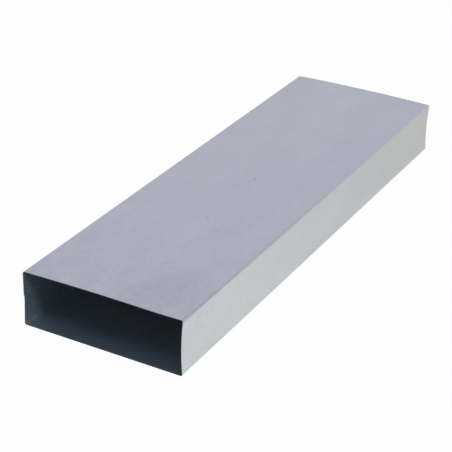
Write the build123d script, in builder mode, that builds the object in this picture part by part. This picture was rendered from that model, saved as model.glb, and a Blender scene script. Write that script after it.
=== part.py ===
from build123d import *
from math import atan, ceil, degrees, radians, tan
import os

# Flat channel duct: one straight length of galvanised sheet, folded into a flat
# rectangular tube that is open at both ends. It is one piece of stock. The sheet's
# two edges lap on the narrow wall at -X, where a row of spot welds joins them.
#
# Millimetres, +Z up. The duct lies flat on its wide panel, with its length along Y
# and its width along X. The origin is at the middle of the base.

# Outside size, over the folds
width = 150.0
height = 50.0
length = 500.0

# Sheet and folds
sheet = 0.55
bend_radius = 1.2    # inside each fold
top_crown = 1.1      # rise of the wide top panel at its middle
wall_draw = 1.1      # how far the plain narrow wall draws in at its middle

# Lap seam: the outer leaf hangs from the top panel, the inner leaf stands on the base
lap = 8.0            # overlap of the two leaves
lap_edge = 27.5      # height of the outer leaf's cut edge
lap_lead = 6.5       # from the end of the inner leaf's lean up to the outer leaf's edge
lap_gap = 0.05       # between the leaves, away from the welds

# Spot welds along the lap
weld_diameter = 4.5
weld_dent = 0.1      # depth that the electrodes leave in each face
weld_slope = 60.0    # of the dent's rim, in degrees from straight in
weld_inset = 6.0     # from each end of the duct to the first weld
weld_pitch = 49.0    # greatest distance from one weld to the next

# Centres of the four folds, and the angles that the curved panels and the inner
# leaf's lean add to a square fold
fold_radius = bend_radius + sheet
fold_x = width / 2 - fold_radius
fold_top = height - fold_radius
crown_angle = degrees(2 * atan(top_crown / fold_x))
draw_angle = degrees(2 * atan(wall_draw / (height / 2 - fold_radius)))
lean_end = lap_edge - lap_lead
lean = degrees(atan((sheet + lap_gap) / (lean_end - fold_radius)))

# The row of welds
weld_run = length - 2 * weld_inset
weld_count = ceil(weld_run / weld_pitch) + 1
weld_spacing = weld_run / (weld_count - 1)
weld_radius = weld_diameter / 2
dent_floor = weld_radius - weld_dent * tan(radians(weld_slope))


def sheet_side(radius):
    """One side of the sheet all round the section, with its folds at this radius.
    Returns its two ends, at the outer leaf's edge and at the inner leaf's edge."""
    top_left = CenterArc((-fold_x, fold_top), radius, 180, crown_angle - 90)
    top_right = CenterArc((fold_x, fold_top), radius, 90 - crown_angle, crown_angle - draw_angle - 90)
    base_right = CenterArc((fold_x, fold_radius), radius, draw_angle, -draw_angle - 90)
    base_left = CenterArc((-fold_x, fold_radius), radius, -90, -lean - 90)
    leaf_x = sheet + lap_gap - fold_x - radius

    outer_leaf = Line((-fold_x - radius, lap_edge), top_left @ 0)
    ThreePointArc(top_left @ 1, (0, fold_top + top_crown + radius), top_right @ 0)
    ThreePointArc(top_right @ 1, (fold_x - wall_draw + radius, height / 2), base_right @ 0)
    Line(base_right @ 1, base_left @ 0)
    inner_leaf = Polyline(
        base_left @ 1,
        (leaf_x, lean_end + radius * tan(radians(lean / 2))),
        (leaf_x, lap_edge + lap),
    )
    return outer_leaf @ 0, inner_leaf @ 1


with BuildPart() as duct:

    # The folded sheet
    with BuildSketch(Plane.XZ):
        with BuildLine():
            outside = sheet_side(fold_radius)
            inside = sheet_side(bend_radius)
            Line(outside[0], inside[0])
            Line(outside[1], inside[1])
        make_face()
    extrude(amount=length / 2, both=True)

    # Spot welds: each nugget reaches from the middle of one leaf to the middle of
    # the other, and the electrodes leave a shallow dent in the face on either side
    seam = Plane((-width / 2, 0, lap_edge + lap / 2), x_dir=(0, 1, 0), z_dir=(1, 0, 0))
    inwards = (Align.CENTER, Align.CENTER, Align.MIN)
    outwards = (Align.CENTER, Align.CENTER, Align.MAX)
    with Locations(seam.offset(sheet / 2)):
        with GridLocations(weld_spacing, 0, weld_count, 1):
            Cylinder(weld_radius, sheet + lap_gap, align=inwards)
    with Locations(seam):
        with GridLocations(weld_spacing, 0, weld_count, 1):
            Cone(weld_radius, dent_floor, weld_dent, align=inwards, mode=Mode.SUBTRACT)
    with Locations(seam.offset(2 * sheet + lap_gap)):
        with GridLocations(weld_spacing, 0, weld_count, 1):
            Cone(dent_floor, weld_radius, weld_dent, align=outwards, mode=Mode.SUBTRACT)

duct.part.label = "duct"

os.makedirs("parts", exist_ok=True)
export_step(duct.part, "parts/duct.step")
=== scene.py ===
from math import atan, ceil, pi, radians, tan

import bmesh
import bpy
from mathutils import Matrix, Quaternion, Vector


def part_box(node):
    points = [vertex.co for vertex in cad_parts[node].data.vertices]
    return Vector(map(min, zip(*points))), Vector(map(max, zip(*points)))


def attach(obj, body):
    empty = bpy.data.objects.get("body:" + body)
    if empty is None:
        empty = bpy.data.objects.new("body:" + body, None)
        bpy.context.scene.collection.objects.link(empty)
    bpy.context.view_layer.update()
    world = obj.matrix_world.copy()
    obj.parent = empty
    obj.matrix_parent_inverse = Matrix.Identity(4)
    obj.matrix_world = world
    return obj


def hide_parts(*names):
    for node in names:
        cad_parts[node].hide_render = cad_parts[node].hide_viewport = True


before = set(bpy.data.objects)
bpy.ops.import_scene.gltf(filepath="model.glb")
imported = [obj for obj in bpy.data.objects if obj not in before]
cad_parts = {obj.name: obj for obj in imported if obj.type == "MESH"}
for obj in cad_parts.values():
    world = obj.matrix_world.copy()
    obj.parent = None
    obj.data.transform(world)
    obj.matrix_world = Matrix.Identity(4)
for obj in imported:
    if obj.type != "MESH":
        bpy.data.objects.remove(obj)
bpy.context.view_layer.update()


# The duct: a straight length of flat ventilation duct, folded on a press brake from one
# thin galvanised sheet. Its two edges lap on the narrow wall at -X, where the outer leaf
# hangs from the top panel, the inner leaf stands on the base, and spot welds join them.
mm = 0.001
low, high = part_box("duct")
height = 50 * mm            # over the folds
sheet = 0.55 * mm
fold_radius = 1.75 * mm     # outside each fold
wall_draw = 1.1 * mm        # how far the plain narrow wall draws in at its middle
lap_edge = 27.5 * mm        # height of the outer leaf's cut edge
lap = 8 * mm                # overlap of the two leaves
lap_gap = 0.05 * mm         # between the leaves
lean_end = 21 * mm          # height at which the inner leaf has leaned in behind the outer one
fold_steps = 8              # faces round each fold
panel_cell = 5 * mm         # longest face on the panels, so that they can curve

# Centres of the folds, and the angles that the curved panels and the inner leaf's lean add
# to a square fold
width = high.x - low.x
length = high.y - low.y
top_crown = high.z - height
fold_x = width / 2 - fold_radius
fold_top = height - fold_radius
crown_angle = 2 * atan(top_crown / fold_x)
draw_angle = 2 * atan(wall_draw / (height / 2 - fold_radius))
lean = atan((sheet + lap_gap) / (lean_end - fold_radius))


def select_edges(wanted):
    """Selects only the edges whose middle and direction pass the test."""
    bpy.ops.mesh.select_all(action="DESELECT")
    edit = bmesh.from_edit_mesh(bpy.context.object.data)
    for edge in edit.edges:
        start, end = (vertex.co for vertex in edge.verts)
        if wanted((start + end) / 2, (end - start).normalized()):
            edge.select_set(True)
    bmesh.update_edit_mesh(bpy.context.object.data)


def sweep(centre_x, centre_z, angle, steps):
    """Carries the selected edge of the sheet on round a centre line that runs along Y."""
    bpy.ops.mesh.spin(steps=steps, angle=-angle, center=(centre_x, 0, centre_z), axis=(0, 1, 0))


def carry(x, z):
    """Carries the selected edge of the sheet straight on."""
    bpy.ops.mesh.extrude_region_move(TRANSFORM_OT_translate={"value": (x, 0, z)})


bpy.ops.object.select_all(action="DESELECT")
leaf_middle = (low.x, 0, (lap_edge + fold_top) / 2)
bpy.ops.mesh.primitive_plane_add(size=1, location=leaf_middle, rotation=(0, pi / 2, 0))
duct = bpy.context.object
duct.name = duct.data.name = "duct_sheet"
duct.scale = (fold_top - lap_edge, length, 1)
bpy.ops.object.transform_apply(location=True, rotation=True, scale=True)

# The outer leaf, then round the section: top panel, plain wall, base and inner leaf
bpy.ops.object.mode_set(mode="EDIT")
bpy.ops.mesh.select_mode(type="EDGE")
select_edges(lambda middle, along: middle.z > fold_top - sheet)
sweep(-fold_x, fold_top, pi / 2 - crown_angle, fold_steps)
sweep(0, fold_top - fold_x / tan(crown_angle), 2 * crown_angle, round(width / panel_cell))
sweep(fold_x, fold_top, pi / 2 - crown_angle + draw_angle, fold_steps)
wall_centre_x = fold_x + (height / 2 - fold_radius) / tan(draw_angle)
sweep(wall_centre_x, height / 2, -2 * draw_angle, round(height / panel_cell))
sweep(fold_x, fold_radius, pi / 2 + draw_angle, fold_steps)
carry(-2 * fold_x, 0)
sweep(-fold_x, fold_radius, pi / 2 + lean, fold_steps)
carry(sheet + lap_gap, lean_end - fold_radius)
carry(0, lap_edge + lap - lean_end)

# Smaller faces: across the base, up the two leaves, and then all along the duct
lined_up = 0.9              # least part of an edge's direction that counts as along an axis
select_edges(lambda middle, along: abs(middle.x) < fold_x / 2 and middle.z < sheet)
bpy.ops.mesh.subdivide(number_cuts=round(width / panel_cell) - 1)
select_edges(
    lambda middle, along: (
        middle.x < 0 and abs(along.z) > lined_up and fold_radius < middle.z < fold_top
    )
)
bpy.ops.mesh.subdivide(number_cuts=round((fold_top - lap_edge) / panel_cell) - 1)
select_edges(lambda middle, along: abs(along.y) > lined_up)
bpy.ops.mesh.subdivide(number_cuts=round(length / panel_cell) - 1)
bpy.ops.mesh.select_all(action="SELECT")
bpy.ops.mesh.remove_doubles(threshold=0.001 * mm)
bpy.ops.mesh.normals_make_consistent(inside=False)
bpy.ops.object.mode_set(mode="OBJECT")


def apply_modifier(kind, **settings):
    """Adds a modifier with its settings to the active object, and applies it."""
    modifier = bpy.context.object.modifiers.new(kind.title(), kind)
    for name, value in settings.items():
        setattr(modifier, name, value)
    bpy.ops.object.modifier_apply(modifier=modifier.name)


# Thin sheet is never quite flat: handling has left shallow hollows in the three whole
# panels, which fade out towards the stiff folds and the ends
hollow_depth = 0.2 * mm
hollow_size = 70 * mm
fold_fade = 20 * mm
end_fade = 40 * mm
panels = duct.vertex_groups.new(name="panels")
for vertex in duct.data.vertices:
    across, along, up = vertex.co
    if up > fold_top or up < fold_radius:
        from_fold = fold_x - abs(across)
    elif across > fold_x:
        from_fold = height / 2 - fold_radius - abs(up - height / 2)
    else:
        from_fold = 0
    from_end = length / 2 - abs(along)
    share = min(1, max(0, from_fold / fold_fade)) * min(1, from_end / end_fade)
    panels.add([vertex.index], share, "REPLACE")
hollows = bpy.data.textures.new("hollows", "CLOUDS")
hollows.noise_scale = hollow_size
hollows.noise_depth = 1
apply_modifier(
    "DISPLACE", texture=hollows, vertex_group="panels", mid_level=1, strength=hollow_depth
)

# A knock has sprung the near corner over the plain wall up a little
corner_lift = 1 * mm
corner_reach = 35 * mm      # in from the corner, where the lift has faded out
for vertex in duct.data.vertices:
    across, along, up = vertex.co
    fade = 1
    for distance in (fold_x - across, along - low.y, fold_top - up):
        fade *= max(0, 1 - max(0, distance) / corner_reach) ** 2
    vertex.co.z += corner_lift * fade

# The sheet gets its thickness: zinc outside, darker and cooler zinc inside as painted shade, and
# bare steel round the edges
zinc = bpy.data.materials.new("hot_dip_galvanised_steel")
inside_zinc_painted_shade = bpy.data.materials.new("galvanised_steel_in_painted_shade")
sheared = bpy.data.materials.new("sheared_steel_edge")
for material in (zinc, inside_zinc_painted_shade, sheared):
    duct.data.materials.append(material)
apply_modifier(
    "SOLIDIFY",
    thickness=sheet,
    offset=-1,
    use_even_offset=True,
    material_offset=1,
    material_offset_rim=2,
)

# The shears leave the cut edges a little rounded. No other edge turns as sharply as theirs.
shear_break = 0.07 * mm
sharp = radians(60)
apply_modifier("BEVEL", width=shear_break, segments=1, limit_method="ANGLE", angle_limit=sharp)

# Spot welds: the electrodes leave a shallow round print in the face of either leaf
print_diameter = 6 * mm     # at the face
print_depth = 0.1 * mm
print_slope = 0.3 * mm      # how far its rim comes in by the bottom
weld_inset = 6 * mm         # from each end of the duct to the first weld
weld_pitch = 49 * mm        # greatest distance from one weld to the next
weld_z = lap_edge + lap / 2
weld_gaps = ceil((length - 2 * weld_inset) / weld_pitch)
weld_spacing = (length - 2 * weld_inset) / weld_gaps
seam_inside = low.x + 2 * sheet + lap_gap

for face_x, into_sheet, face_zinc in ((low.x, 1, zinc), (seam_inside, -1, inside_zinc_painted_shade)):
    bpy.ops.object.select_all(action="DESELECT")
    bpy.ops.mesh.primitive_cone_add(
        vertices=32,
        radius1=print_diameter / 2 + print_slope,
        radius2=print_diameter / 2 - print_slope,
        depth=2 * print_depth,
        location=(face_x, low.y + weld_inset, weld_z),
        rotation=(0, into_sheet * pi / 2, 0),
    )
    electrode = bpy.context.object
    electrode.data.materials.append(face_zinc)
    bpy.ops.object.transform_apply(location=True, rotation=True, scale=True)
    apply_modifier(
        "ARRAY",
        count=weld_gaps + 1,
        use_relative_offset=False,
        use_constant_offset=True,
        constant_offset_displace=(0, weld_spacing, 0),
    )
    bpy.context.view_layer.objects.active = duct
    apply_modifier(
        "BOOLEAN",
        operation="DIFFERENCE",
        solver="EXACT",
        material_mode="TRANSFER",
        object=electrode,
    )
    bpy.data.objects.remove(electrode)

# Rounding in the sweeps is trimmed to the CAD box
for vertex in duct.data.vertices:
    vertex.co = [min(max(value, least), most) for value, least, most in zip(vertex.co, low, high)]

bpy.ops.object.select_all(action="DESELECT")
duct.select_set(True)
bpy.ops.object.shade_smooth_by_angle(angle=radians(30))
apply_modifier("WEIGHTED_NORMAL", keep_sharp=True)


# Hot-dip galvanised steel: a matt zinc skin of small crystals, streaked along the sheet by
# the rolling mill, cloudy in patches, and a little duller towards the near end. The inside
# of the duct has a darker, cooler copy of it, which is painted shade.
def colour(code):
    """The linear colour of an sRGB hex value."""
    channels = (int(code[start:start + 2], 16) / 255 for start in (1, 3, 5))
    return (*(c / 12.92 if c <= 0.04045 else ((c + 0.055) / 1.055) ** 2.4 for c in channels), 1)


def add_node(tree, kind, inputs, **settings):
    """Adds a node with its settings. An input gets a value, or a link from a node or an output.
    A MapRange turns the range from input 1 to 2 into that from 3 to 4, or into 0 to 1 without
    them. A Mix of colours goes from 6 to 7 as its input 0 rises."""
    node = tree.nodes.new("ShaderNode" + kind)
    for name, value in settings.items():
        setattr(node, name, value)
    for name, value in inputs.items():
        if isinstance(value, bpy.types.Node):
            value = value.outputs[0]
        if isinstance(value, bpy.types.NodeSocket):
            tree.links.new(value, node.inputs[name])
        else:
            node.inputs[name].default_value = value
    return node


# Range in which a noise or a tone mostly stays
usual_low = 0.3
usual_high = 0.7


def galvanise(material, darkest, palest, marks):
    """Makes the material's zinc skin in tones from darkest to palest. Each mark is a soft spot
    on it, by its middle and half sizes in mm, and its change in tone."""
    material.use_nodes = True
    tree = material.node_tree
    tree.nodes.clear()
    place = add_node(tree, "TexCoord", {}).outputs["Object"]
    axes = add_node(tree, "SeparateXYZ", {0: place}).outputs

    # Crystals that differ a little in tone
    crystal_size = 2.6 * mm
    crystals = add_node(tree, "TexVoronoi", {"Vector": place, "Scale": 1 / crystal_size})
    crystal = add_node(tree, "SeparateXYZ", {0: crystals.outputs["Color"]})
    tone = add_node(tree, "MapRange", {0: crystal, 3: 0.485, 4: 0.515})

    # Patterns in the zinc, by their size, how far they are drawn out along the sheet, and how
    # strong they are in most of the duct and at the near end
    wear_from = -0.2 * length
    for grain_size, stretch, amount, near_amount in (
        (1.4 * mm, 12, 0.015, 0.012),   # rolling streaks
        (6 * mm, 1.4, 0.01, 0.035),     # mottling
        (32 * mm, 2, 0.03, 0.04),       # clouds
    ):
        drawn_out = add_node(tree, "Mapping", {"Vector": place, "Scale": (1, 1 / stretch, 1)})
        pattern = {"Vector": drawn_out, "Scale": 1 / grain_size, "Detail": 3}
        pattern = add_node(tree, "TexNoise", pattern)
        lighter = add_node(tree, "MapRange", {0: pattern, 1: usual_low, 2: usual_high, 3: -1, 4: 1})
        strength = {0: axes["Y"], 1: wear_from, 2: low.y, 3: amount, 4: near_amount}
        strength = add_node(tree, "MapRange", strength)
        tone = add_node(tree, "Math", {0: lighter, 1: strength, 2: tone}, operation="MULTIPLY_ADD")

    # Small dark specks at the peaks of a noise, in loose rows across the sheet: most of them
    # towards the near end, and few on the plain wall
    speck_size = 3 * mm
    rows = add_node(tree, "Mapping", {"Vector": place, "Scale": (0.6, 1, 1)})
    specks = add_node(tree, "TexNoise", {"Vector": rows, "Scale": 1 / speck_size, "Detail": 2})
    specks = add_node(tree, "MapRange", {0: specks, 1: 0.53, 2: 0.72, 3: 0, 4: -1})
    wall_side = add_node(tree, "MapRange", {0: axes["X"], 1: fold_x, 2: fold_x + 0.5 * mm})
    near_strength = add_node(tree, "MapRange", {0: wall_side, 3: 0.1, 4: 0.02})
    strength = {0: axes["Y"], 1: 0, 2: low.y, 3: 0.01, 4: near_strength}
    strength = add_node(tree, "MapRange", strength)
    tone = add_node(tree, "Math", {0: specks, 1: strength, 2: tone}, operation="MULTIPLY_ADD")

    # Scuffs and stains, as shares of their half sizes from the middle out
    mark_core = 0.4             # full within this share
    mark_reach = 1.2            # gone beyond this one
    for middle, half_size, change in marks:
        spot = {"Vector": place, "Location": Vector(middle) * mm, "Scale": Vector(half_size) * mm}
        spot = add_node(tree, "Mapping", spot, vector_type="TEXTURE")
        from_middle = add_node(tree, "VectorMath", {0: spot}, operation="LENGTH").outputs["Value"]
        shift = {0: from_middle, 1: mark_reach, 2: mark_core, 3: 0, 4: change}
        shift = add_node(tree, "MapRange", shift)
        tone = add_node(tree, "Math", {0: tone, 1: shift}, operation="ADD")

    # Painted light in two of the folds: a painted highlight in the one under the seam near the
    # mouth, and in the one over the plain wall painted shade at the near end, light at the far end.
    bend_start = -0.3 * mm      # past a fold's centre, where its painted light starts
    bend_full = 0.5 * mm        # and where it is full
    for turns, painted_light_from, painted_light_to, least, most in (
        ({"X": (-fold_x, -1), "Z": (fold_radius, -1)}, low.y + 30 * mm, low.y + 8 * mm, 0, 0.9),
        ({"X": (fold_x, 1), "Z": (fold_top, 1)}, low.y, high.y, -0.14, 0.09),
    ):
        painted_fold_light = {0: axes["Y"], 1: painted_light_from, 2: painted_light_to, 3: least, 4: most}
        painted_fold_light = add_node(tree, "MapRange", painted_fold_light)
        for axis, (centre, out) in turns.items():
            turned = {0: axes[axis], 1: centre + out * bend_start, 2: centre + out * bend_full}
            turned = add_node(tree, "MapRange", turned)
            painted_fold_light = add_node(tree, "Math", {0: painted_fold_light, 1: turned}, operation="MULTIPLY")
        tone = add_node(tree, "Math", {0: painted_fold_light, 1: tone}, operation="ADD")

    # Painted shade on the plain wall, faint and brown, which grows upwards and towards the far end
    painted_far_shade = wall_side
    for axis, thin_at, thick_at, least, most in (
        ("Y", -0.4 * length, high.y, 0, 0.33),
        ("Z", fold_top + 1.2 * mm, fold_top, 0, 1),
        ("Z", 0, 20 * mm, 0.65, 1),
    ):
        share = {0: axes[axis], 1: thin_at, 2: thick_at, 3: least, 4: most}
        share = add_node(tree, "MapRange", share)
        painted_far_shade = add_node(tree, "Math", {0: painted_far_shade, 1: share}, operation="MULTIPLY")

    # Grime and painted shade on the inner leaf, in the corner under the outer leaf's cut edge
    from_edge = add_node(tree, "Math", {0: axes["Z"], 1: lap_edge}, operation="SUBTRACT")
    from_edge = add_node(tree, "Math", {0: from_edge}, operation="ABSOLUTE")
    grime_and_painted_shade = add_node(tree, "MapRange", {0: from_edge, 1: 1.5 * mm, 2: 0.3 * mm})
    for none_at, full_at in ((0.3 * mm, 0.5 * mm), (1 * mm, 0.8 * mm)):
        on_leaf = {0: axes["X"], 1: low.x + none_at, 2: low.x + full_at}
        on_leaf = add_node(tree, "MapRange", on_leaf)
        grime_and_painted_shade = add_node(tree, "Math", {0: grime_and_painted_shade, 1: on_leaf}, operation="MULTIPLY")

    # Each spot weld has a pale print, with a patchy burnt ring round it
    first_weld = (seam_inside, low.y + weld_inset, weld_z)
    from_first = add_node(tree, "VectorMath", {0: place, 1: first_weld}, operation="SUBTRACT")
    from_first = add_node(tree, "SeparateXYZ", {0: from_first}).outputs
    from_nearest = {0: from_first["Y"], 1: weld_spacing / 2}
    from_nearest = add_node(tree, "Math", from_nearest, operation="PINGPONG")
    from_weld = {"X": from_first["X"], "Y": from_nearest, "Z": from_first["Z"]}
    from_weld = add_node(tree, "CombineXYZ", from_weld)
    from_weld = add_node(tree, "VectorMath", {0: from_weld}, operation="LENGTH").outputs["Value"]
    print_radius = print_diameter / 2
    ring_radius = print_radius + 0.9 * mm
    patch_size = 5 * mm
    off_ring = add_node(tree, "Math", {0: from_weld, 1: ring_radius}, operation="SUBTRACT")
    off_ring = add_node(tree, "Math", {0: off_ring}, operation="ABSOLUTE")
    scorch = add_node(tree, "TexNoise", {"Vector": place, "Scale": 1 / patch_size})
    scorch = add_node(tree, "MapRange", {0: scorch, 1: 0.4, 2: 0.65, 3: 0, 4: 0.25})
    burnt = add_node(tree, "MapRange", {0: off_ring, 1: 1.4 * mm, 2: 0.2 * mm, 3: 0, 4: scorch})
    pressed = {0: from_weld, 1: print_radius + 0.2 * mm, 2: print_radius - 0.6 * mm, 3: 0, 4: 0.35}
    pressed = add_node(tree, "MapRange", pressed)

    # The tone of the zinc becomes its colour, and the layers come over it in turn
    skin = {0: tone, 6: colour(darkest), 7: colour(palest)}
    skin = add_node(tree, "Mix", skin, data_type="RGBA").outputs[2]
    for layer, code in (
        (painted_far_shade, "#A09588"),
        (grime_and_painted_shade, "#5B5C5B"),
        (burnt, "#77726C"),
        (pressed, palest),
    ):
        skin = {0: layer, 6: skin, 7: colour(code)}
        skin = add_node(tree, "Mix", skin, data_type="RGBA").outputs[2]

    # The zinc is less rough where it is paler, and its grain stands out a little all over
    grain_width = 0.7 * mm
    grain_depth = 0.02 * mm
    roughness = {0: tone, 1: usual_low, 2: usual_high, 3: 0.46, 4: 0.38}
    roughness = add_node(tree, "MapRange", roughness)
    grain = add_node(tree, "TexNoise", {"Vector": place, "Scale": 1 / grain_width, "Detail": 3})
    relief = add_node(tree, "Bump", {"Height": grain, "Strength": 0.12, "Distance": grain_depth})
    surface = {"Base Color": skin, "Metallic": 0.93, "Roughness": roughness, "Normal": relief}
    surface = add_node(tree, "BsdfPrincipled", surface)
    add_node(tree, "OutputMaterial", {"Surface": surface})


# Outside: two small dark scuffs on the top panel, and a dull patch in its near right corner
outside_marks = (
    ((5, -1.5, 51), (1.5, 2.6, 3), -0.2),
    ((6, -90, 51), (1.4, 2.6, 3), -0.19),
    ((9.5, -96, 51), (2.6, 1.2, 3), -0.12),
    ((40, -225, 51), (48, 45, 4), -0.07),
)
galvanise(zinc, "#9DA3A9", "#E8EDEC", outside_marks)

# Inside: pale and dark spots round the first weld in the mouth, and a painted highlight where
# the fold under the seam meets the mouth
inside_marks = (
    ((-73.9, -244.5, 28.6), (1.5, 3.6, 3.8), 0.3),
    ((-73.9, -244.5, 24.4), (1.5, 3, 1.2), -0.25),
    ((-73.9, -232, 26.8), (1.5, 2.6, 1.8), 0.4),
    # A painted highlight at the mouth end of the fold under the seam
    ((-74, -246.5, 1.1), (1.6, 4.5, 1.5), 0.6),
)
# The inside's zinc is darker and cooler than the outside's: painted shade
galvanise(inside_zinc_painted_shade, "#959FA8", "#DBE9F2", inside_marks)

# Sheared steel: the bare cut edges, dark and burred where the duct was cut to length, and
# clean and bright along the slit edges of the coil
sheared.use_nodes = True
tree = sheared.node_tree
tree.nodes.clear()
burr_size = 0.4 * mm
place = add_node(tree, "TexCoord", {}).outputs["Object"]
burr = add_node(tree, "TexNoise", {"Vector": place, "Scale": 1 / burr_size})
edge_colour = {0: burr, 6: colour("#3E4246"), 7: colour("#666A6F")}
edge_colour = add_node(tree, "Mix", edge_colour, data_type="RGBA").outputs[2]
along = add_node(tree, "SeparateXYZ", {0: place}).outputs["Y"]
from_middle = add_node(tree, "Math", {0: along}, operation="ABSOLUTE")
slit = add_node(tree, "MapRange", {0: from_middle, 1: high.y - 0.2 * mm, 2: high.y - 0.5 * mm})
edge_colour = {0: slit, 6: edge_colour, 7: colour("#B9BDC1")}
edge_colour = add_node(tree, "Mix", edge_colour, data_type="RGBA").outputs[2]
roughness = add_node(tree, "MapRange", {0: burr, 1: usual_low, 2: usual_high, 3: 0.4, 4: 0.6})
surface = {"Base Color": edge_colour, "Metallic": 1, "Roughness": roughness}
surface = add_node(tree, "BsdfPrincipled", surface)
add_node(tree, "OutputMaterial", {"Surface": surface})

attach(duct, "root")
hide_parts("duct")


# The studio: a white floor, which keeps a faint shadow of the duct. The camera and the
# metal see it as nearly pure white, whatever light falls on it.
floor_size = 60             # metres
glow_share = 0.98
bpy.ops.object.select_all(action="DESELECT")
bpy.ops.mesh.primitive_plane_add(size=floor_size)
floor = bpy.context.object
floor.name = "studio_floor"
paper = bpy.data.materials.new("white_studio_paper")
floor.data.materials.append(paper)
paper.use_nodes = True
tree = paper.node_tree
tree.nodes.clear()
rays = add_node(tree, "LightPath", {}).outputs
seen = add_node(tree, "Math", {0: rays["Is Camera Ray"], 1: rays["Is Glossy Ray"]}, operation="ADD")
seen = add_node(tree, "Math", {0: seen, 1: rays["Is Transmission Ray"]}, operation="ADD")
share = add_node(tree, "Math", {0: seen, 1: glow_share}, operation="MULTIPLY")
matt = add_node(tree, "BsdfDiffuse", {"Color": colour("#F5F5F5")})
white = add_node(tree, "Emission", {"Strength": 1})
surface = add_node(tree, "MixShader", {0: share, 1: matt, 2: white})
add_node(tree, "OutputMaterial", {"Surface": surface})


# Soft studio light: pale walls all round, cool and dimmer in front of the duct. Two wide
# softboxes behind it light the far end of the top panel more than the near one, and two
# small cool ones in front reach a little way into the mouth.
world = bpy.data.worlds.new("studio_light")
bpy.context.scene.world = world
world.use_nodes = True
tree = world.node_tree
tree.nodes.clear()
around = add_node(tree, "TexCoord", {}).outputs["Generated"]
axes = add_node(tree, "SeparateXYZ", {0: around}).outputs
wall = add_node(tree, "ValToRGB", {0: axes["Z"]})

# The walls' colours from the floor up, by the sine of the angle above the horizon
wall_colours = {0: "#D0CECC", 0.12: "#D2D2D6", 0.28: "#DCD7E8", 0.6: "#D4D0E3", 1: "#E4E8EC"}
stops = wall.color_ramp.elements
stops.remove(stops[1])
for position, code in wall_colours.items():
    stop = stops.new(position) if position else stops[0]
    stop.color = colour(code)
front = add_node(tree, "MapRange", {0: axes["Y"], 1: -0.4, 2: 0.1, 3: 1, 4: 0})
tint = {0: front, 6: wall, 7: colour("#78828C")}
tint = add_node(tree, "Mix", tint, data_type="RGBA").outputs[2]
add_node(tree, "OutputWorld", {"Surface": add_node(tree, "Background", {"Color": tint})})

# Places and sizes in metres, power in watts
for name, place, size, power, tint in (
    ("back_left_softbox", (-1.1, 2.1, 0.9), 1.2, 0.5, "#FFFFFF"),
    ("back_right_softbox", (0.9, 1.9, 0.7), 1.2, 0.5, "#FFFFFF"),
    ("front_softbox", (0.35, -0.65, 1.05), 0.3, 3.0, "#C8DEFF"),
    ("side_softbox", (1.1, -0.4, 0.33), 0.06, 2.4, "#E2F0F2"),
):
    bpy.ops.object.light_add(type="AREA", location=place)
    softbox = bpy.context.object
    softbox.name = name
    softbox.data.shape = "SQUARE"
    softbox.data.size = size
    softbox.data.energy = power
    softbox.data.color = colour(tint)[:3]
    softbox.rotation_euler = Vector(place).to_track_quat("Z", "Y").to_euler()


# The camera: at the photograph's place, turned a little on its own axis
camera_from = Vector((558.3, -1087.2, 639.2)) * mm
camera_at = Vector((26.5, -94.6, 50)) * mm
camera_roll = radians(1.676)
camera_lens = 117.76        # millimetres, on the standard sensor
bpy.ops.object.camera_add(location=camera_from)
camera = bpy.context.object
camera.data.lens = camera_lens
aim = (camera_at - camera_from).to_track_quat("-Z", "Y")
camera.rotation_euler = (aim @ Quaternion((0, 0, 1), camera_roll)).to_euler()
bpy.context.scene.camera = camera
bpy.context.scene.view_settings.view_transform = "Standard"
